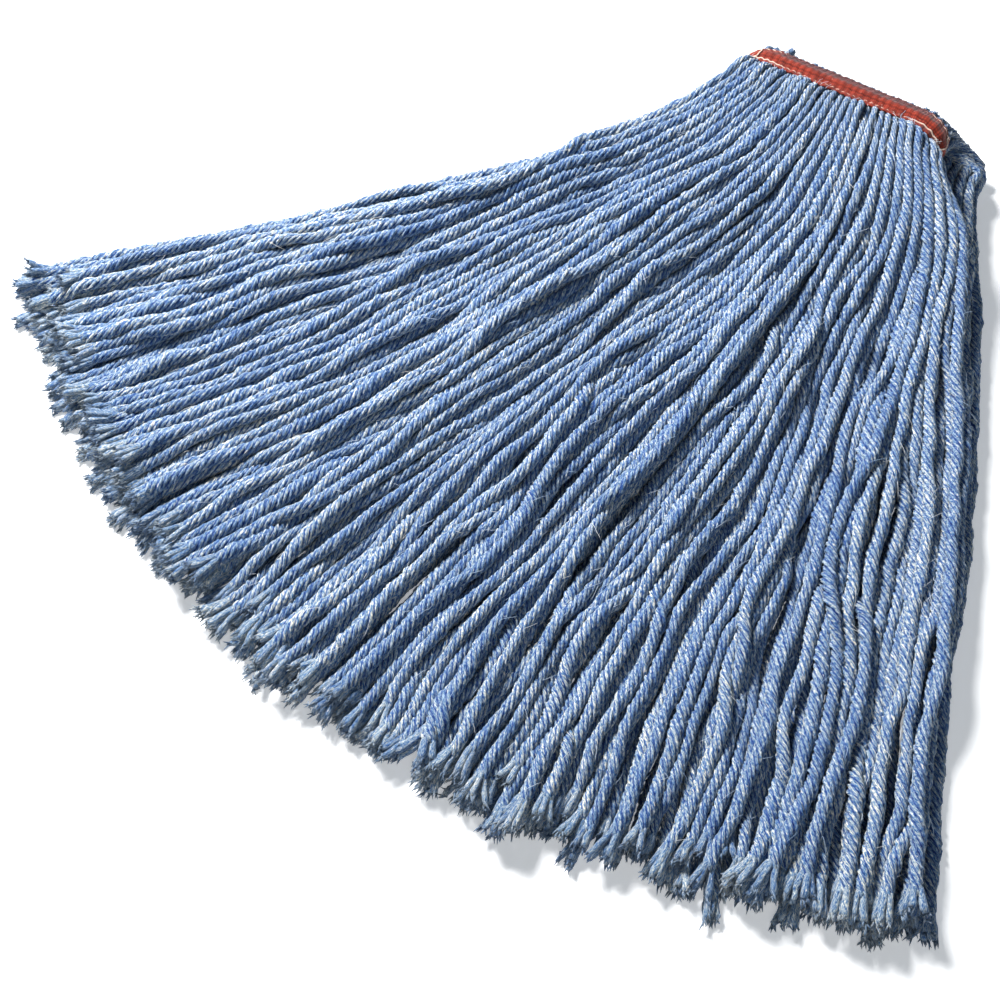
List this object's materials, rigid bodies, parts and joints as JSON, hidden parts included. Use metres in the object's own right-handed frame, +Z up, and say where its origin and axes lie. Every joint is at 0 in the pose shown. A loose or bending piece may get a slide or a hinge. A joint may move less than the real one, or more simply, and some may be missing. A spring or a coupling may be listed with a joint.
{
  "type": "string mop head",
  "caption": "Cut-end string mop head: twisted yarn strands sewn across their middle into a narrow tape headband, folded over and fanned out flat.",
  "frame": {"origin": "under the middle of the whole object's box, on the surface that the mop head lies on", "axes": "+X along the headband, +Z up, -Y the way the strands point from the headband"},
  "size_m": [0.5716, 0.4838, 0.0523],
  "materials": {
    "yarn": "soft heathered mid-blue blend yarn with white and cream flecks",
    "band_tape": "woven orange-red mesh tape",
    "thread": "pale cream sewing thread"
  },
  "bodies": {
    "lower_half": {"pressed_strands": "yarn", "headband_outer_tape": "band_tape", "headband_inner_tape": "band_tape", "outer_seam_upper": "thread", "outer_seam_lower": "thread", "inner_seam_upper": "thread", "inner_seam_lower": "thread", "end_tack_left": "thread", "end_tack_right": "thread", "lower_strands_01": "yarn", "lower_strands_02": "yarn", "lower_strands_03": "yarn", "lower_strands_04": "yarn", "lower_strands_05": "yarn", "lower_strands_06": "yarn", "lower_strands_07": "yarn", "lower_strands_08": "yarn", "lower_strands_09": "yarn", "lower_strands_10": "yarn", "lower_strands_11": "yarn", "lower_strands_12": "yarn"},
    "upper_left": {"upper_strands_01": "yarn", "upper_strands_02": "yarn", "upper_strands_03": "yarn", "upper_strands_04": "yarn"},
    "upper_middle": {"upper_strands_05": "yarn", "upper_strands_06": "yarn", "upper_strands_07": "yarn", "upper_strands_08": "yarn"},
    "upper_right": {"upper_strands_09": "yarn", "upper_strands_10": "yarn", "upper_strands_11": "yarn", "upper_strands_12": "yarn"}
  },
  "joints": [
    {"name": "lift_left", "type": "hinge", "parent": "lower_half", "child": "upper_left", "pos_m": [0.05062, 0.20341, 0.05131], "axis": [-1, 0, 0], "range_deg": [0, 150]},
    {"name": "lift_middle", "type": "hinge", "parent": "lower_half", "child": "upper_middle", "pos_m": [0.05062, 0.20341, 0.05131], "axis": [-1, 0, 0], "range_deg": [0, 150]},
    {"name": "lift_right", "type": "hinge", "parent": "lower_half", "child": "upper_right", "pos_m": [0.05062, 0.20341, 0.05131], "axis": [-1, 0, 0], "range_deg": [0, 150]}
  ]
}
